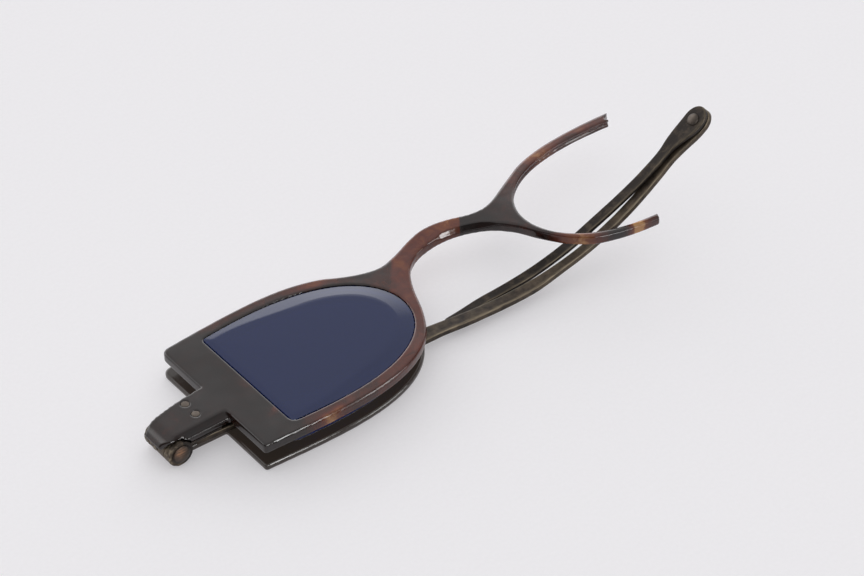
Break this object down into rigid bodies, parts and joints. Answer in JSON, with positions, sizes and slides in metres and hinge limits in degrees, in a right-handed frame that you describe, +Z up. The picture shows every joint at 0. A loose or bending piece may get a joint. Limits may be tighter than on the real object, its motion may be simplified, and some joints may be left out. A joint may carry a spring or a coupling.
{
  "type": "antique folding spectacles",
  "caption": "Folded antique shell spectacles with blue D-shaped glass, a hinged side lens under the front, a bowed metal temple with a turn-pin extension, and a broken-off far eye.",
  "frame": {"origin": "middle of the underside of the bounding box, on the table plane the folded spectacles lie on", "axes": "+X along the front from the hinge to the broken eye, +Y to the brow, +Z up from the table"},
  "size_m": [0.1052, 0.0296, 0.0245],
  "materials": {
    "shell": "worn polished shell, mottled red-brown",
    "thin_shell": "worn polished shell, dark brown",
    "blue_glass": "clear blue-grey glass",
    "temple_metal": "dark patina with worn bright edges",
    "rivet_metal": "worn",
    "pin_copper": "tarnished copper"
  },
  "bodies": {
    "front": {"front_frame": "shell", "front_lens": "blue_glass", "front_hinge_leaf": "temple_metal", "front_rivet_upper": "rivet_metal", "front_rivet_lower": "rivet_metal", "hinge_pin": "pin_copper"},
    "temple": {"temple_bar": "temple_metal", "turn_pin": "rivet_metal"},
    "extension": {"temple_extension": "temple_metal"},
    "side": {"side_frame": "thin_shell", "side_lens": "blue_glass", "side_hinge_leaf": "temple_metal", "side_rivet_upper": "rivet_metal", "side_rivet_lower": "rivet_metal"}
  },
  "joints": [
    {"name": "temple_hinge", "type": "hinge", "parent": "front", "child": "temple", "pos_m": [-0.04978, 0, 0.00228], "axis": [0, 1, 0], "range_deg": [0, 95]},
    {"name": "side_lens_hinge", "type": "hinge", "parent": "temple", "child": "side", "pos_m": [-0.04978, 0, 0.00228], "axis": [0, 1, 0], "range_deg": [0, 60]},
    {"name": "turn_pin_hinge", "type": "hinge", "parent": "temple", "child": "extension", "pos_m": [0.04997, -0.01044, 0.02199], "axis": [0.6773, -0.0539, -0.7337], "range_deg": [0, 24]}
  ]
}
